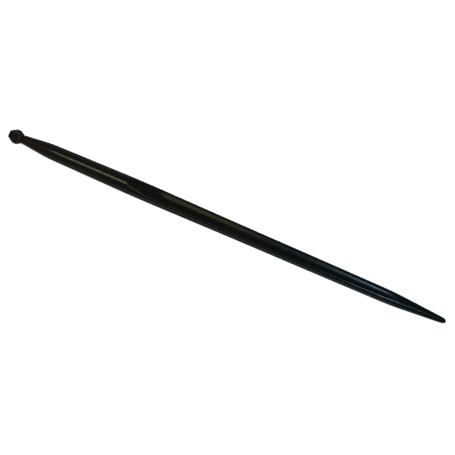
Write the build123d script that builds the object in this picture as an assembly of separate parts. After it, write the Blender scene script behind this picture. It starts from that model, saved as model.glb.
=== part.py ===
from build123d import *
from math import cos, radians, sin, sqrt, tan
import os

# Bale spear: one forged steel spear with a tapered, threaded root, and its clamp nut.
# Millimetres. X runs along the spear from the nut end to the tip. The origin is on the
# axis, at the large end of the mounting taper. One flat of the blade faces up, +Z.

# Threaded root and mounting taper
thread_d = 22.0
thread_beyond_nut = 5.0
thread_end_chamfer = 2.0
nut_to_taper = 2.0
taper_small_d = 23.3
taper_large_d = 40.0
taper_length = 75.0
taper_shoulder = 1.0
taper_blend_r = 400.0

# Clamp nut
nut_across_flats = 33.5
nut_height = 33.0
nut_face_d = 24.8
nut_bevel_angle = 30.0
nut_turn = 19.7
thread_fit = 0.0

# Round shank, from the taper to where the flats begin
shank_length = 222.0
shank_end_d = 47.0

# Blade: a square bar with rounded corners, which narrows to the root of its point
run_in_length = 65.0
root_across_flats = 41.8
root_corner_r = 6.8
waist_distance = 525.0
waist_across_flats = 38.2
waist_corner_r = 6.5
front_corner_r = 9.3

# Flutes in the four flats: each is two slopes that meet in a soft valley
flute_run_in = 50.0
flute_slope = 11.5
flute_front_slope = 6.0
flute_fade = 60.0
valley_weight = 3.5

# Point: it starts at a rounded shoulder and ends in a blunt dome
spear_length = 1245.0
point_length = 147.5
shoulder_across_flats = 34.8
shoulder_blend = 40.5
point_corner_r = 10.8
tip_end_d = 16.7
tip_dome_length = 16.0

# How finely the lofts follow the changing section
run_in_sections = 9
slow_spacing = 100.0
quick_spacing = 9.0
round_seam_angle = 8.0

# Places along the axis
taper_small_x = -taper_length
nut_seat_x = taper_small_x - nut_to_taper
nut_outer_x = nut_seat_x - nut_height
thread_end_x = nut_outer_x - thread_beyond_nut
run_in_x = shank_length
root_x = run_in_x + run_in_length
flute_full_x = root_x + flute_run_in
tip_end_x = thread_end_x + spear_length
dome_x = tip_end_x - tip_dome_length
shoulder_x = tip_end_x - point_length
front_x = shoulder_x - shoulder_blend
flute_end_x = front_x + flute_fade
point_x = shoulder_x + shoulder_blend


def between(start, end, share):
    return start + (end - start) * share


def share_of(start, end, x):
    return (x - start) / (end - start)


def section(x, half_flat, corner_r, turn, middle_weight=1):
    """Four rounded corners joined by four faces, square to the axis at x.

    half_flat is the distance from the axis to the corners' common tangent, and turn is
    the direction in degrees in which each face leaves its corners: above zero the faces
    are crowned, at zero they are flat, and below zero they are hollow. A larger
    middle_weight makes the two halves of a face straighter and their meeting sharper.
    """
    centre = half_flat - corner_r
    reach = centre + corner_r / sqrt(2)
    side = centre + corner_r * sin(radians(turn))
    height = centre + corner_r * cos(radians(turn))
    if centre < 0.001:
        face_edge = ThreePointArc((-side, height), (0, corner_r), (side, height))
    else:
        middle = (0, height + side * tan(radians(turn)))
        face_edge = Bezier((-side, height), middle, (side, height), weights=[1, middle_weight, 1])
    corner_edge = ThreePointArc((side, height), (reach, reach), (height, side))
    edges = [edge.rotate(Axis.Z, 90 * quarter) for quarter in range(4) for edge in (face_edge, corner_edge)]
    outline = Face(Wire(edges))
    return Plane(origin=(x, 0, 0), x_dir=(0, 1, 0), z_dir=(1, 0, 0)) * outline


def blade_size(x):
    """Half the width across the flats, and the corner radius, from the blade's root to its front."""
    if x < waist_distance:
        share = share_of(root_x, waist_distance, x)
        half_flat = between(root_across_flats, waist_across_flats, share) / 2
        return half_flat, between(root_corner_r, waist_corner_r, share)
    share = share_of(waist_distance, shoulder_x, x)
    half_flat = between(waist_across_flats, shoulder_across_flats, share) / 2
    share = share_of(waist_distance, front_x, x)
    return half_flat, between(waist_corner_r, front_corner_r, share**2)


def shoulder_size(x):
    """The same where the blade bends over into its point."""
    start, _ = blade_size(front_x)
    middle = shoulder_across_flats / 2
    end = between(middle, tip_end_d / 2, share_of(shoulder_x, dome_x, point_x))
    share = share_of(front_x, point_x, x)
    half_flat = between(between(start, middle, share), between(middle, end, share), share)
    return half_flat, between(front_corner_r, point_corner_r, share)


def flute_turn(x):
    """How steeply the faces leave their corners, in degrees below flat."""
    if x < flute_full_x:
        share = share_of(root_x, flute_full_x, x)
        return -flute_slope * share**2 * (3 - 2 * share)
    if x < waist_distance:
        return -flute_slope
    if x < front_x:
        return -between(flute_slope, flute_front_slope, share_of(waist_distance, front_x, x))
    return -flute_front_slope * max(1 - share_of(front_x, flute_end_x, x), 0)


def bar(start, end, spacing, size):
    """A loft between two places on the axis, with its width and corners from size."""
    steps = max(round((end - start) / spacing), 1)
    sections = []
    for step in range(steps + 1):
        x = between(start, end, step / steps)
        half_flat, corner_r = size(x)
        sections.append(section(x, half_flat, corner_r, flute_turn(x), valley_weight))
    return loft(sections, ruled=True)


def make_root():
    """Thread, taper and round shank, turned in one profile."""
    thread_r = thread_d / 2
    points = [
        (thread_end_x, 0),
        (thread_end_x, thread_r - thread_end_chamfer),
        (thread_end_x + thread_end_chamfer, thread_r),
        (taper_small_x - taper_shoulder, thread_r),
        (taper_small_x, taper_small_d / 2),
        (0, taper_large_d / 2),
        (run_in_x, shank_end_d / 2),
        (run_in_x, 0),
    ]
    profile = make_face(Polyline(*points, close=True))
    taper_corner = profile.vertices().sort_by_distance((0, taper_large_d / 2))[0]
    return revolve(fillet(taper_corner, taper_blend_r), Axis.X)


def make_run_in():
    """The shank's circle becomes a square with rounded corners; the flats open quickly at first."""
    root_centre = root_across_flats / 2 - root_corner_r
    sections = []
    for step in range(run_in_sections + 1):
        share = step / run_in_sections
        corner_r = between(shank_end_d / 2, root_corner_r, share)
        half_flat = root_centre * share + corner_r
        turn = round_seam_angle * (1 - share)
        sections.append(section(run_in_x + run_in_length * share**2, half_flat, corner_r, turn))
    return loft(sections, ruled=True)


def make_blade():
    """Fluted bar: the flutes sink in, run straight, and grow shallow towards the front."""
    start = bar(root_x, flute_full_x, quick_spacing, blade_size)
    back = bar(flute_full_x, waist_distance, slow_spacing, blade_size)
    front = bar(waist_distance, front_x, slow_spacing, blade_size)
    return start + back + front


def make_point():
    """The flutes fade out over the shoulder, the corners turn round, and the end is a dome."""
    end_r = tip_end_d / 2
    shoulder = bar(front_x, point_x, quick_spacing, shoulder_size)
    half_flat, corner_r = shoulder_size(point_x)
    base = section(point_x, half_flat, corner_r, 0)
    cone = loft([base, section(dome_x, end_r, end_r, round_seam_angle)], ruled=True)
    quarter = EllipticalCenterArc((dome_x, 0), tip_dome_length, end_r, arc_size=90)
    edge = Polyline((dome_x, end_r), (dome_x, 0), (tip_end_x, 0))
    return shoulder + cone + revolve(make_face([quarter, edge]), Axis.X)


def make_spear():
    return make_root() + make_run_in() + make_blade() + make_point()


def make_nut():
    """Tall hexagon nut, bevelled by a cone at each end."""
    corner_r = nut_across_flats / sqrt(3)
    bevel = (corner_r - nut_face_d / 2) / tan(radians(nut_bevel_angle))
    outline = Polyline(
        (nut_outer_x, 0),
        (nut_outer_x, nut_face_d / 2),
        (nut_outer_x + bevel, corner_r),
        (nut_seat_x - bevel, corner_r),
        (nut_seat_x, nut_face_d / 2),
        (nut_seat_x, 0),
        close=True,
    )
    turned = revolve(make_face(outline), Axis.X)
    across = Plane(origin=(nut_outer_x, 0, 0), x_dir=(0, 1, 0), z_dir=(1, 0, 0))
    hexagon = across * RegularPolygon(corner_r, 6, rotation=nut_turn)
    bore = across * Circle(thread_d / 2 + thread_fit)
    return (turned & extrude(hexagon, nut_height)) - extrude(bore, nut_height)


os.makedirs("parts", exist_ok=True)
for node, solid in (("spear", make_spear()), ("hex_nut", make_nut())):
    export_step(solid, f"parts/{node}.step")
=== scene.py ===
from math import atan, atan2, cos, degrees, pi, radians, sin, sqrt, tan

import bpy
from mathutils import Matrix, Vector, noise


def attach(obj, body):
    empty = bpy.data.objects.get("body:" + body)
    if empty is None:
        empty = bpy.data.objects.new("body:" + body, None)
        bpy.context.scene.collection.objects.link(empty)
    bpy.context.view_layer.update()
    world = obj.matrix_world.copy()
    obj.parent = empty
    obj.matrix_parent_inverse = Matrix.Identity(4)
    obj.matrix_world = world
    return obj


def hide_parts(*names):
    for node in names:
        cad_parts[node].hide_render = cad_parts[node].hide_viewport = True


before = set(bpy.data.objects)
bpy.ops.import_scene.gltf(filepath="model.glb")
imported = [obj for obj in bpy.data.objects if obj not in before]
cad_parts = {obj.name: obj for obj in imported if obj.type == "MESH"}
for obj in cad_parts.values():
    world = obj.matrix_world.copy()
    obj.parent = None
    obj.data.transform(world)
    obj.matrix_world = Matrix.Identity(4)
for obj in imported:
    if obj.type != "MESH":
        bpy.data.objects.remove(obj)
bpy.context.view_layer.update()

# A bale spear that lies on a white floor. Sizes are in millimetres until a mesh is made.
MM = 0.001

# Spear, with the sizes of the part's source. FLAT is half the width across two flats, CORNER
# is the radius between them, and slopes and turns are in degrees.
SPEAR_LENGTH = 1245.0
THREAD_R = 11.0
THREAD_BEYOND_NUT = 5.0
END_CHAMFER = 2.0
NUT_TO_TAPER = 2.0
TAPER_LENGTH, TAPER_SMALL_R, TAPER_LARGE_R = 75.0, 11.65, 20.0
SHANK_LENGTH, SHANK_END_R = 222.0, 23.5
RUN_IN_LENGTH = 65.0
ROOT_FLAT, ROOT_CORNER = 20.9, 6.8
WAIST_X, WAIST_FLAT, WAIST_CORNER = 525.0, 19.1, 6.5
FRONT_CORNER = 9.3
FLUTE_RUN_IN, FLUTE_FADE, FLUTE_SLOPE = 50.0, 60.0, 11.5
POINT_LENGTH, POINT_CORNER = 147.5, 10.8
SHOULDER_FLAT, SHOULDER_BLEND = 17.4, 40.5
DOME_LENGTH, TIP_R = 16.0, 8.35
SEAM_ANGLE = 8.0

# Clamp nut, with the sizes of the part's source
NUT_HEIGHT = 33.0
NUT_SIDES = 6
NUT_FLAT = 16.75
NUT_FACE_R = 12.4
NUT_BEVEL = 30.0
NUT_TURN = 19.7
NUT_CORNER_ANGLE = 180 / NUT_SIDES

# Places along the axis
TAPER_SMALL_X = -TAPER_LENGTH
NUT_SEAT_X = TAPER_SMALL_X - NUT_TO_TAPER
NUT_OUTER_X = NUT_SEAT_X - NUT_HEIGHT
THREAD_END_X = NUT_OUTER_X - THREAD_BEYOND_NUT
TIP_END_X = THREAD_END_X + SPEAR_LENGTH
ROOT_X = SHANK_LENGTH + RUN_IN_LENGTH
FLUTE_FULL_X = ROOT_X + FLUTE_RUN_IN
DOME_X = TIP_END_X - DOME_LENGTH
SHOULDER_X = TIP_END_X - POINT_LENGTH
FRONT_X = SHOULDER_X - SHOULDER_BLEND
POINT_X = SHOULDER_X + SHOULDER_BLEND

# Thread. Half of its flat crest and one of its flanks are shares of the pitch.
THREAD_PITCH, THREAD_DEPTH, THREAD_FADE = 1.5, 0.92, 4.0
HALF_CREST, FLANK = 0.0625, 0.3125

# Where the spear is finer than the source: softer joins, and flutes with rounder valleys
TAPER_SHOULDER, TAPER_BLEND = 1.3, 19.0
RUN_IN_SOFT_START = 0.14
FLUTE_FRONT_SLOPE = 7.0
VALLEY_HALF, VALLEY_FRONT_HALF = 4.8, 5.5

# Where the nut is finer than the source: rounded corners and rims, and wide mouths to its bore
NUT_CORNER_R = 0.9
NUT_RIM_BLEND = 0.5
BORE_MOUTH_R = 11.75
BORE_PLAY = 0.04

# Unevenness of the forging: the depth, length and width of its slow and its fine hollows
SLOW_DEPTH, SLOW_LENGTH, SLOW_WIDTH = 0.13, 70, 24
FINE_DEPTH, FINE_LENGTH, FINE_WIDTH = 0.015, 19, 9
FINE_OFFSET = 7
FORGED_FULL_X = 30.0

# Points round one ring of the spear, along each face and round each corner
FACE_STEPS, CORNER_STEPS = 18, 12
RING = 4 * (FACE_STEPS + CORNER_STEPS)
EVEN_ANGLES = [2 * pi * i / RING - pi / 4 for i in range(RING)]

# Steps to one turn of the thread, and between the other rings along the spear
THREAD_STEPS = 12
TAPER_SHOULDER_STEPS, TAPER_STEPS, TAPER_BLEND_STEPS = 5, 12, 14
SHANK_STEPS, RUN_IN_STEPS, FLUTE_STEPS, BLADE_STEPS = 36, 40, 18, 104
SHOULDER_STEPS, POINT_STEPS, DOME_STEPS = 28, 18, 12


def between(start, end, share):
    return start + (end - start) * share


def share_of(start, end, value):
    return (value - start) / (end - start)


def evenly(start, end, steps):
    """Places at equal distances, with both ends."""
    return [between(start, end, step / steps) for step in range(steps + 1)]


def smooth(start, end, value):
    """0 before start, 1 after end, and an even S between."""
    share = min(max(share_of(start, end, value), 0.0), 1.0)
    return share * share * (3 - 2 * share)


def soft_min(a, b, width):
    """The smaller of two, rounded off where they cross."""
    share = max(width - abs(a - b), 0.0) / width
    return min(a, b) - share * share * width / 4


def turned(places, radii, angles):
    """Points round the axis, at angles that run from +Z towards +Y."""
    return [(x, r * sin(a), r * cos(a)) for x, r, a in zip(places, radii, angles)]


def mesh_object(name, rings, tips=()):
    """A skin over rings of equal length, which ends in two tips or else closes on itself."""
    count, last = len(rings[0]), len(rings) - 1
    verts = [point for ring in rings for point in ring] + list(tips)
    joins = [(step, step + 1) for step in range(last)]
    if not tips:
        joins.append((last, 0))
    around = [(i, (i + 1) % count) for i in range(count)]
    faces = [(here * count + i, there * count + i, there * count + j, here * count + j)
             for here, there in joins for i, j in around]
    if tips:
        faces += [(i, j, len(verts) - 2) for i, j in around]
        faces += [(last * count + j, last * count + i, len(verts) - 1) for i, j in around]
    mesh = bpy.data.meshes.new(name)
    mesh.from_pydata([Vector(v) * MM for v in verts], [], faces)
    mesh.validate()
    mesh.update()
    obj = bpy.data.objects.new(name, mesh)
    bpy.context.scene.collection.objects.link(obj)
    for face in mesh.polygons:
        face.use_smooth = True
    return obj


# Spear

def section(half_flat, corner_r, turn, valley=None):
    """One ring of a square with rounded corners, as (y, z), from the left end of the top face.

    turn is the direction in degrees in which each face leaves its corners. A hollow face
    is straight down to its valley, which is round over valley each way. Other faces are
    crowned evenly.
    """
    centre = half_flat - corner_r
    side = centre + corner_r * sin(radians(turn))
    height = centre + corner_r * cos(radians(turn))
    slope = tan(radians(turn))
    valley = min(valley or side, side)
    quarter = []
    for step in range(FACE_STEPS):
        y = side * (2 * step / FACE_STEPS - 1)
        rise = side - max(abs(y), valley) + max(valley**2 - y * y, 0) / (2 * valley)
        quarter.append((y, height + slope * rise))
    for step in range(CORNER_STEPS):
        angle = radians(between(turn, 90 - turn, step / CORNER_STEPS))
        quarter.append((centre + corner_r * sin(angle), centre + corner_r * cos(angle)))
    ring = []
    for _ in range(4):
        ring += quarter
        quarter = [(z, -y) for y, z in quarter]
    return ring


def thread_radius(x, angle):
    """Distance from the axis to the thread, whose grooves fade out before the taper."""
    phase = (x / THREAD_PITCH - angle / (2 * pi)) % 1.0
    groove = min(max((abs(phase - 0.5) - HALF_CREST) / FLANK, 0.0), 1.0)
    chamfer = THREAD_R - END_CHAMFER + (x - THREAD_END_X)
    fade = 1 - smooth(TAPER_SMALL_X - THREAD_FADE, TAPER_SMALL_X - TAPER_SHOULDER, x)
    return min(THREAD_R - THREAD_DEPTH * groove * fade, chamfer)


def root_radius(x):
    """Distance from the axis to the turned taper and shank."""
    steep = (TAPER_LARGE_R - TAPER_SMALL_R) / -TAPER_SMALL_X
    slow = (SHANK_END_R - TAPER_LARGE_R) / SHANK_LENGTH
    if x < TAPER_SMALL_X:
        share = smooth(TAPER_SMALL_X - TAPER_SHOULDER, TAPER_SMALL_X, x)
        return between(THREAD_R, TAPER_SMALL_R, share)
    if x < -TAPER_BLEND:
        return TAPER_LARGE_R + steep * x
    if x > TAPER_BLEND:
        return TAPER_LARGE_R + slow * x
    along = (x + TAPER_BLEND) / (2 * TAPER_BLEND)
    start = TAPER_LARGE_R - steep * TAPER_BLEND
    return start + 2 * TAPER_BLEND * (steep * along + (slow - steep) * along**2 / 2)


def blade_size(x):
    """Half the width across the flats, and the corner radius, between the blade's two ends."""
    if x < WAIST_X:
        share = share_of(ROOT_X, WAIST_X, x)
        return between(ROOT_FLAT, WAIST_FLAT, share), between(ROOT_CORNER, WAIST_CORNER, share)
    half_flat = between(WAIST_FLAT, SHOULDER_FLAT, share_of(WAIST_X, SHOULDER_X, x))
    return half_flat, between(WAIST_CORNER, FRONT_CORNER, share_of(WAIST_X, FRONT_X, x)**2)


def point_size(x):
    """The same from the front of the blade, over its shoulder, to the dome."""
    start, _ = blade_size(FRONT_X)
    end = between(SHOULDER_FLAT, TIP_R, share_of(SHOULDER_X, DOME_X, POINT_X))
    if x > POINT_X:
        share = share_of(POINT_X, DOME_X, x)
        return between(end, TIP_R, share), between(POINT_CORNER, TIP_R, share)
    share = share_of(FRONT_X, POINT_X, x)
    first = between(start, SHOULDER_FLAT, share)
    second = between(SHOULDER_FLAT, end, share)
    return between(first, second, share), between(FRONT_CORNER, POINT_CORNER, share)


def flute_turn(x):
    """How steeply the faces leave their corners: below zero in the flutes, above it at the tip."""
    if x < FLUTE_FULL_X:
        return -FLUTE_SLOPE * smooth(ROOT_X, FLUTE_FULL_X, x)
    if x < FRONT_X:
        share = max(share_of(WAIST_X, FRONT_X, x), 0)
        return -between(FLUTE_SLOPE, FLUTE_FRONT_SLOPE, share)
    if x < POINT_X:
        return -FLUTE_FRONT_SLOPE * max(1 - (x - FRONT_X) / FLUTE_FADE, 0)
    return SEAM_ANGLE * share_of(POINT_X, DOME_X, x)


def spear_section(x):
    """The ring at x, from the end of the taper to the dome."""
    if x <= SHANK_LENGTH:
        return section(root_radius(x), root_radius(x), SEAM_ANGLE)
    if x <= ROOT_X:
        opened = (x - SHANK_LENGTH) / RUN_IN_LENGTH
        share = sqrt(opened) * smooth(0.0, RUN_IN_SOFT_START, opened)
        corner_r = between(SHANK_END_R, ROOT_CORNER, share)
        half_flat = (ROOT_FLAT - ROOT_CORNER) * share + corner_r
        return section(half_flat, corner_r, SEAM_ANGLE * (1 - share))
    half_flat, corner_r = blade_size(x) if x <= FRONT_X else point_size(x)
    if x >= POINT_X:
        return section(half_flat, corner_r, flute_turn(x))
    valley = between(VALLEY_HALF, VALLEY_FRONT_HALF, smooth(WAIST_X, FRONT_X, x))
    return section(half_flat, corner_r, flute_turn(x), valley)


def hollow(x, y, z, length, width, offset=0):
    """How deep a hollow is at a point, from about 0 to 1."""
    return 0.5 + 0.5 * noise.noise(Vector((x / length, y / width, z / width + offset)))


def forged(x, y, z):
    """The hammer and the rolls leave the surface a little low here and there, never high."""
    reach = sqrt(y * y + z * z)
    low = SLOW_DEPTH * hollow(x, y, z, SLOW_LENGTH, SLOW_WIDTH)
    low += FINE_DEPTH * hollow(x, y, z, FINE_LENGTH, FINE_WIDTH, FINE_OFFSET)
    shrink = 1 - low * smooth(TAPER_SMALL_X, FORGED_FULL_X, x) / max(reach, 1.0)
    return (x, y * shrink, z * shrink)


def thread_rings():
    rings = []
    x = THREAD_END_X
    while x < TAPER_SMALL_X - TAPER_SHOULDER:
        radii = [thread_radius(x, angle) for angle in EVEN_ANGLES]
        rings.append(turned([x] * RING, radii, EVEN_ANGLES))
        x += THREAD_PITCH / THREAD_STEPS
    return rings


def taper_rings():
    """Along the taper the points slide from even angles to those of a round section."""
    seam = [atan2(y, z) for y, z in section(1.0, 1.0, SEAM_ANGLE)]
    seam = [a + 2 * pi * round((near - a) / (2 * pi)) for a, near in zip(seam, EVEN_ANGLES)]
    stations = evenly(TAPER_SMALL_X - TAPER_SHOULDER, TAPER_SMALL_X, TAPER_SHOULDER_STEPS)
    # One ring close by keeps the edge at the small end crisp
    stations += evenly(TAPER_SMALL_X + 1, -TAPER_BLEND, TAPER_STEPS)
    rings = []
    for x in stations:
        share = smooth(TAPER_SMALL_X, -TAPER_BLEND, x)
        angles = [between(a, b, share) for a, b in zip(EVEN_ANGLES, seam)]
        rings.append(turned([x] * RING, [root_radius(x)] * RING, angles))
    return rings


def forged_rings():
    """Shank, run-in, blade and point. In the run-in the rings lie closest where it starts."""
    stations = evenly(-TAPER_BLEND, TAPER_BLEND, TAPER_BLEND_STEPS)[1:-1]
    stations += evenly(TAPER_BLEND, SHANK_LENGTH, SHANK_STEPS)
    stations += [SHANK_LENGTH + RUN_IN_LENGTH * (step / RUN_IN_STEPS)**2
                 for step in range(1, RUN_IN_STEPS)]
    stations += evenly(ROOT_X, FLUTE_FULL_X, FLUTE_STEPS)[:-1]
    stations += evenly(FLUTE_FULL_X, FRONT_X, BLADE_STEPS)
    stations += evenly(FRONT_X, POINT_X, SHOULDER_STEPS)[1:]
    stations += evenly(POINT_X, DOME_X, POINT_STEPS)[1:]
    return [[forged(x, y, z) for y, z in spear_section(x)] for x in stations]


def dome_rings():
    rings = []
    for step in range(1, DOME_STEPS):
        angle = radians(90 * step / DOME_STEPS)
        x = DOME_X + DOME_LENGTH * sin(angle)
        ring = section(TIP_R * cos(angle), TIP_R * cos(angle), SEAM_ANGLE)
        rings.append([forged(x, y, z) for y, z in ring])
    return rings


spear_rings = thread_rings() + taper_rings() + forged_rings() + dome_rings()
spear_tips = ((THREAD_END_X, 0, 0), (TIP_END_X, 0, 0))
spear = mesh_object("forged_spear", spear_rings, spear_tips)


# Nut

def hexagon_radius(flat, corner_r, off_flat):
    """Distance from the axis to a hexagon with rounded corners, off_flat degrees off a flat."""
    tangent = degrees(atan((flat - corner_r) * tan(radians(NUT_CORNER_ANGLE)) / flat))
    if abs(off_flat) <= tangent:
        return flat / cos(radians(off_flat))
    beta = radians(NUT_CORNER_ANGLE - abs(off_flat))
    centre = (flat - corner_r) / cos(radians(NUT_CORNER_ANGLE))
    return centre * cos(beta) + sqrt(max(corner_r**2 - (centre * sin(beta))**2, 0))


def nut_outside(angles, rims):
    """Rings from the rim of the outer end to the rim of the seat, over the bevels and the flats."""
    slope = tan(radians(NUT_BEVEL))
    rises = [(rim - NUT_FACE_R) / slope for rim in rims]
    # Depths below an end: up the bevel, over its rounded rim, and on to the nut's middle
    profile = []
    for share in (0, 0.03, 0.15, 0.3, 0.45, 0.6, 0.75, 0.88):
        profile.append([rise * share for rise in rises])
    for share in (-1, -0.5, 0, 0.5, 1):
        profile.append([rise + NUT_RIM_BLEND * share for rise in rises])
    for share in (0.2, 0.45, 0.7, 1.0):
        profile.append([between(rise + NUT_RIM_BLEND, NUT_HEIGHT / 2, share) for rise in rises])
    outer_half, seat_half = [], []
    for depths in profile:
        bevels = [NUT_FACE_R + depth * slope for depth in depths]
        radii = [soft_min(rim, bevel, NUT_RIM_BLEND) for rim, bevel in zip(rims, bevels)]
        outer_half.append(turned([NUT_OUTER_X + depth for depth in depths], radii, angles))
        seat_half.append(turned([NUT_SEAT_X - depth for depth in depths], radii, angles))
    return outer_half + seat_half[-2::-1]


def nut_bore(angles):
    """Rings from the seat to the outer end, with the thread's ridges and a cone at each mouth."""
    rings = []
    steps = round(NUT_HEIGHT / (THREAD_PITCH / THREAD_STEPS))
    for step in range(steps + 1):
        depth = NUT_HEIGHT * step / steps
        x = NUT_SEAT_X - depth
        mouth = BORE_MOUTH_R - min(depth, NUT_HEIGHT - depth)
        radii = [max(thread_radius(x, angle) + BORE_PLAY, mouth) for angle in angles]
        rings.append(turned([x] * len(angles), radii, angles))
    return rings


def make_nut():
    # Degrees off a flat's middle, closest together round the corner
    half_side = [-NUT_CORNER_ANGLE, -29.6, -29.2, -28.8, -28, -26, -22, -17, -11.5, -5.75]
    side = half_side + [0] + [-angle for angle in reversed(half_side[1:])]
    rims = [hexagon_radius(NUT_FLAT, NUT_CORNER_R, angle) for angle in side] * NUT_SIDES
    # The middle of one flat lies NUT_TURN degrees before +Z
    middles = [2 * NUT_CORNER_ANGLE * turn for turn in range(NUT_SIDES)]
    angles = [radians(middle + angle - NUT_TURN) for middle in middles for angle in side]
    return mesh_object("clamp_nut", nut_outside(angles, rims) + nut_bore(angles))


nut = make_nut()


# Materials. Places and the heights of bumps are in metres, and noise has scale waves to a metre.

# Both paints: how little they mirror, how roughness grows towards an edge-on view, and the
# range of noise over which it varies
PAINT_SPECULAR = 0.08
EDGE_ON, EDGE_DULLING = (0.25, 0.6), (0.0, 0.65)
GRAIN = (0.3, 0.7)

# Forging: where one paint turns into the next along the spear, and their colours. The shank's olive
# and the front's blue-green are painted tints of the warm and the cool light that fall there.
TAPER_TO_SHANK = (-0.045, 0.03)
SHANK_TO_BLADE = (0.18, 0.24)
BLADE_TO_FRONT = (0.45, 0.85)
BLADE_DARK, BLADE_PALE = (0.0028, 0.0029, 0.0023), (0.0040, 0.0040, 0.0032)
# Painted light: the olive is a tint of the warm light on the shank, the blue-green a tint of the
# cool light at the front
SHANK_WARM_LIGHT_TINT = (0.0046, 0.0051, 0.0034)
FRONT_COOL_LIGHT_TINT = (0.0011, 0.0026, 0.0029)
TAPER_BROWN = (0.0085, 0.0055, 0.0046)
CHIP_BROWN = (0.060, 0.048, 0.036)
FORGING_ROUGHNESS = (0.16, 0.20)
TAPER_ROUGHER, SHANK_ROUGHER = 0.05, 0.06

# Nut: where its tint turns from bluish to maroon, its colours, and how sharp a worn edge is
OUTER_TO_SEAT = (-0.097, -0.080)
NUT_DARK = (0.0024, 0.0022, 0.0024)
NUT_BLUISH, NUT_MAROON = (0.0072, 0.0076, 0.0098), (0.0125, 0.0068, 0.0090)
NUT_WORN = (0.040, 0.033, 0.026)
WORN_EDGES = (0.53, 0.62)
NUT_ROUGHNESS = (0.26, 0.34)


def add(nodes, kind, **inputs):
    node = nodes.new(kind)
    for key, value in inputs.items():
        node.inputs[key].default_value = value
    return node


def ranged(tree, value, source, target=(0.0, 1.0)):
    """Goes through target in an even S while value goes through source."""
    node = tree.nodes.new("ShaderNodeMapRange")
    node.interpolation_type = "SMOOTHSTEP"
    for index, number in enumerate((*source, *target), start=1):
        node.inputs[index].default_value = number
    tree.links.new(value, node.inputs[0])
    return node.outputs[0]


def noised(tree, place, scale, detail):
    node = add(tree.nodes, "ShaderNodeTexNoise", Scale=scale, Detail=detail)
    tree.links.new(place, node.inputs["Vector"])
    return node.outputs["Fac"]


def mixed(tree, share, first, second):
    node = tree.nodes.new("ShaderNodeMix")
    node.data_type = "RGBA"
    # These places hold the factor and the two colours of a node that also mixes other types
    for value, index in ((share, 0), (first, 6), (second, 7)):
        if isinstance(value, bpy.types.NodeSocket):
            tree.links.new(value, node.inputs[index])
        else:
            node.inputs[index].default_value = (*value, 1.0)
    return node.outputs[2]


def maths(tree, operation, first, second):
    node = tree.nodes.new("ShaderNodeMath")
    node.operation = operation
    for index, value in enumerate((first, second)):
        if isinstance(value, bpy.types.NodeSocket):
            tree.links.new(value, node.inputs[index])
        else:
            node.inputs[index].default_value = value
    return node.outputs[0]


def bumped(tree, height, distance, strength, below=None, sunk=False):
    node = add(tree.nodes, "ShaderNodeBump", Distance=distance, Strength=strength)
    node.invert = sunk
    tree.links.new(height, node.inputs["Height"])
    if below:
        tree.links.new(below, node.inputs["Normal"])
    return node.outputs["Normal"]


def edge_dulling(tree):
    """How much rougher the paint looks where it is seen nearly edge-on."""
    facing = add(tree.nodes, "ShaderNodeLayerWeight", Blend=0.5).outputs["Facing"]
    return ranged(tree, facing, EDGE_ON, EDGE_DULLING)


def part_of(tree, place, axis):
    node = tree.nodes.new("ShaderNodeSeparateXYZ")
    tree.links.new(place, node.inputs[0])
    return node.outputs[axis]


def new_paint(name):
    """A paint with its tree and shader, the place on the object, and its part along the spear."""
    material = bpy.data.materials.new(name)
    material.use_nodes = True
    tree = material.node_tree
    shader = tree.nodes["Principled BSDF"]
    shader.inputs["Specular IOR Level"].default_value = PAINT_SPECULAR
    place = tree.nodes.new("ShaderNodeTexCoord").outputs["Object"]
    return material, tree, shader, place, part_of(tree, place, "X")


def forging_paint():
    """Black paint over a forging: brown and dull on the taper, smooth along the blade, with a
    painted tint of warm light on the shank and of cool light towards the front.
    """
    material, tree, shader, place, along = new_paint("painted_forging")
    patches = ranged(tree, noised(tree, place, scale=16.0, detail=3.0), (0.35, 0.65))
    shank = ranged(tree, along, SHANK_TO_BLADE, (1.0, 0.0))
    front = ranged(tree, along, BLADE_TO_FRONT)
    taper = ranged(tree, along, TAPER_TO_SHANK, (1.0, 0.0))
    chips = ranged(tree, noised(tree, place, scale=210.0, detail=2.0), (0.735, 0.75))
    colour = mixed(tree, patches, BLADE_DARK, BLADE_PALE)
    # Painted light: an olive tint of the warm light on the shank, then a blue-green tint of the
    # cool light towards the front
    colour = mixed(tree, shank, colour, SHANK_WARM_LIGHT_TINT)
    colour = mixed(tree, front, colour, FRONT_COOL_LIGHT_TINT)
    colour = mixed(tree, taper, colour, TAPER_BROWN)
    colour = mixed(tree, chips, colour, CHIP_BROWN)
    tree.links.new(colour, shader.inputs["Base Color"])
    grain = noised(tree, place, scale=40.0, detail=4.0)
    rough = ranged(tree, grain, GRAIN, FORGING_ROUGHNESS)
    rough = maths(tree, "ADD", rough, maths(tree, "MULTIPLY", taper, TAPER_ROUGHER))
    rough = maths(tree, "ADD", rough, maths(tree, "MULTIPLY", shank, SHANK_ROUGHER))
    rough = maths(tree, "ADD", rough, edge_dulling(tree))
    tree.links.new(rough, shader.inputs["Roughness"])
    dents = noised(tree, place, scale=95.0, detail=3.0)
    peel = noised(tree, place, scale=700.0, detail=2.0)
    normal = bumped(tree, dents, distance=0.00035, strength=0.12)
    normal = bumped(tree, peel, distance=0.00008, strength=0.3, below=normal)
    normal = bumped(tree, chips, distance=0.00012, strength=0.6, below=normal, sunk=True)
    tree.links.new(normal, shader.inputs["Normal"])
    return material


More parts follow.
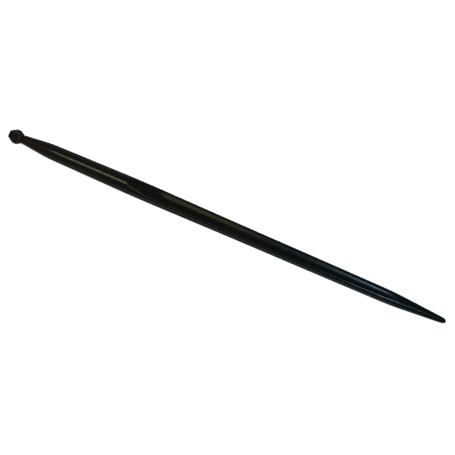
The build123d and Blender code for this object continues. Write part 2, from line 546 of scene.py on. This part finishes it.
def nut_paint():
    """Black paint over a turned nut, thin on its edges, bluish towards its outer end and maroon
    towards the taper.
    """
    material, tree, shader, place, along = new_paint("painted_nut")
    patches = ranged(tree, noised(tree, place, scale=85.0, detail=3.0), (0.40, 0.62))
    tint = mixed(tree, ranged(tree, along, OUTER_TO_SEAT), NUT_BLUISH, NUT_MAROON)
    edges = ranged(tree, tree.nodes.new("ShaderNodeNewGeometry").outputs["Pointiness"], WORN_EDGES)
    spots = ranged(tree, noised(tree, place, scale=300.0, detail=4.0), (0.42, 0.6), (0.2, 1.0))
    colour = mixed(tree, patches, NUT_DARK, tint)
    colour = mixed(tree, maths(tree, "MULTIPLY", edges, spots), colour, NUT_WORN)
    tree.links.new(colour, shader.inputs["Base Color"])
    grain = noised(tree, place, scale=120.0, detail=4.0)
    rough = ranged(tree, grain, GRAIN, NUT_ROUGHNESS)
    rough = maths(tree, "ADD", rough, edge_dulling(tree))
    tree.links.new(rough, shader.inputs["Roughness"])
    dents = noised(tree, place, scale=220.0, detail=3.0)
    peel = noised(tree, place, scale=1100.0, detail=2.0)
    normal = bumped(tree, dents, distance=0.0004, strength=0.6)
    normal = bumped(tree, peel, distance=0.00006, strength=0.3, below=normal)
    tree.links.new(normal, shader.inputs["Normal"])
    return material


spear.data.materials.append(forging_paint())
nut.data.materials.append(nut_paint())
for piece, node, slot in ((spear, "spear", "painted_forging"), (nut, "hex_nut", "painted_nut")):
    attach(piece, "root")
    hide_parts(node)


# Camera: above the spear, a little on the -Y side of the top flat and nearer to the tip. It
# aims to the right of and below a place on the axis, by so many pixels of the picture.
AZIMUTH, ELEVATION = radians(24.0), radians(75.8)
PIXELS = 455
PIXEL = 2.6067 * MM
AIM_X = 0.4811
AIM_RIGHT, AIM_DOWN = 9.6, 4.05
LENS, SENSOR = 800.0, 36.0

back = Vector((sin(AZIMUTH) * cos(ELEVATION), -cos(AZIMUTH) * cos(ELEVATION), sin(ELEVATION)))
right = Vector((cos(AZIMUTH), sin(AZIMUTH), 0))
up = back.cross(right)
middle = Vector((AIM_X, 0, 0)) + right * AIM_RIGHT * PIXEL - up * AIM_DOWN * PIXEL
eye = middle + back * (LENS / SENSOR * PIXELS * PIXEL)
camera = bpy.data.objects.new("camera", bpy.data.cameras.new("camera"))
camera.data.lens, camera.data.sensor_width = LENS, SENSOR
camera.data.clip_start, camera.data.clip_end = 0.1, 100.0
camera.rotation_mode = "QUATERNION"
camera.location, camera.rotation_quaternion = eye, (-back).to_track_quat("-Z", "Y")
bpy.context.scene.collection.objects.link(camera)
bpy.context.scene.camera = camera
bpy.context.scene.view_settings.view_transform = "Standard"


# Lamps: a row of panels over the spear, which its gloss mirrors into the camera. Their distance
# and width are in metres.
LAMP_DISTANCE = 2.0
LAMP_WIDTH, WARM_LAMP_WIDTH = 0.36, 0.50


def lamp(name, start_x, end_x, tilt, glow, colour, width=LAMP_WIDTH):
    """A panel that the spear, were it a straight round bar, would mirror from start_x to end_x.

    tilt is how far the mirroring line lies round the bar from the side that faces the
    camera, in degrees towards the upper edge of the picture. glow is the panel's radiance.
    """
    aim = Vector(((start_x + end_x) / 2 * MM, 0, 0))
    to_eye = (eye - aim).normalized()
    facing = Vector((0, to_eye.y, to_eye.z)).normalized()
    normal = Matrix.Rotation(radians(-tilt), 3, "X") @ facing
    outward = 2 * normal.dot(to_eye) * normal - to_eye
    along = (Vector((1, 0, 0)) - outward * outward.x).normalized()
    turn = Matrix((along, outward.cross(along), outward)).transposed()
    data = bpy.data.lights.new(name, "AREA")
    data.shape, data.size, data.size_y = "RECTANGLE", (end_x - start_x) * MM, width
    data.energy, data.color = glow * pi * data.size * data.size_y, colour
    obj = bpy.data.objects.new(name, data)
    obj.rotation_mode = "QUATERNION"
    obj.location, obj.rotation_quaternion = aim + outward * LAMP_DISTANCE, turn.to_quaternion()
    obj.visible_camera = False
    bpy.context.scene.collection.objects.link(obj)


for details in (
    ("lamp_warm", 36.0, 106.0, 4.6, 140.0, (1.0, 0.80, 0.50), WARM_LAMP_WIDTH),
    ("lamp_amber", 106.0, 190.0, 3.7, 28.2, (1.0, 0.88, 0.62)),
    ("lamp_olive", 390.0, 490.0, 0.7, 8.8, (1.0, 0.92, 0.26)),
    ("lamp_green", 480.0, 580.0, 0.7, 5.1, (0.85, 1.0, 0.40)),
    ("lamp_grey", 930.0, 990.0, 0.7, 39.7, (0.72, 0.85, 1.0)),
    ("lamp_cool", 990.0, 1060.0, 5.2, 185.6, (0.37, 0.69, 1.0)),
    ("lamp_pale", 1060.0, 1110.0, 5.6, 96.0, (0.80, 0.90, 1.0)),
    ("lamp_blue", 1140.0, 1240.0, -1.0, 49.9, (0.20, 0.82, 1.0)),
    ("lamp_tip", 1240.0, 1360.0, 2.5, 10.9, (0.65, 1.0, 0.80)),
):
    lamp(*details)


# Floor: it touches the fat end of the shank and the front of the blade. Its reach is in metres.
FLOOR_REACH = 20.0
FLOOR_GREY, FLOOR_ROUGHNESS, FLOOR_GLOW = 0.45, 0.9, 0.78


def floor_white():
    """A lit grey, with a glow that only sight, gloss and glass meet: white, with a shadow."""
    material = bpy.data.materials.new("floor_white")
    material.use_nodes = True
    tree = material.node_tree
    shader = tree.nodes["Principled BSDF"]
    shader.inputs["Base Color"].default_value = (FLOOR_GREY, FLOOR_GREY, FLOOR_GREY, 1)
    shader.inputs["Roughness"].default_value = FLOOR_ROUGHNESS
    shader.inputs["Specular IOR Level"].default_value = 0.0
    shader.inputs["Emission Color"].default_value = (1, 1, 1, 1)
    path = tree.nodes.new("ShaderNodeLightPath")
    seen = maths(tree, "MAXIMUM", path.outputs["Is Camera Ray"], path.outputs["Is Glossy Ray"])
    seen = maths(tree, "MAXIMUM", seen, path.outputs["Is Transmission Ray"])
    tree.links.new(maths(tree, "MULTIPLY", seen, FLOOR_GLOW), shader.inputs["Emission Strength"])
    return material


def make_floor():
    under_shank = Vector((SHANK_LENGTH * MM, 0, -SHANK_END_R * MM))
    under_blade = Vector((FRONT_X * MM, 0, -blade_size(FRONT_X)[0] * MM))
    slope = (under_blade.z - under_shank.z) / (under_blade.x - under_shank.x)
    corners = []
    for side_x, side_y in ((-1, -1), (1, -1), (1, 1), (-1, 1)):
        x, y = side_x * FLOOR_REACH, side_y * FLOOR_REACH
        corners.append((x, y, under_shank.z + (x - under_shank.x) * slope))
    mesh = bpy.data.meshes.new("floor")
    mesh.from_pydata(corners, [], [(0, 1, 2, 3)])
    mesh.materials.append(floor_white())
    obj = bpy.data.objects.new("floor", mesh)
    bpy.context.scene.collection.objects.link(obj)
    return obj


floor = make_floor()


# World: a dim ceiling that pales towards the walls, by the height of a direction
WALL_TO_CEILING = (0.05, 0.75)
WORLD_LIGHT = (0.65, 0.2)

world = bpy.data.worlds.new("studio")
bpy.context.scene.world = world
world.use_nodes = True
tree = world.node_tree
height = part_of(tree, tree.nodes.new("ShaderNodeTexCoord").outputs["Generated"], "Z")
light = ranged(tree, height, WALL_TO_CEILING, WORLD_LIGHT)
tree.links.new(light, tree.nodes["Background"].inputs["Strength"])
tree.nodes["Background"].inputs["Color"].default_value = (1, 1, 1, 1)
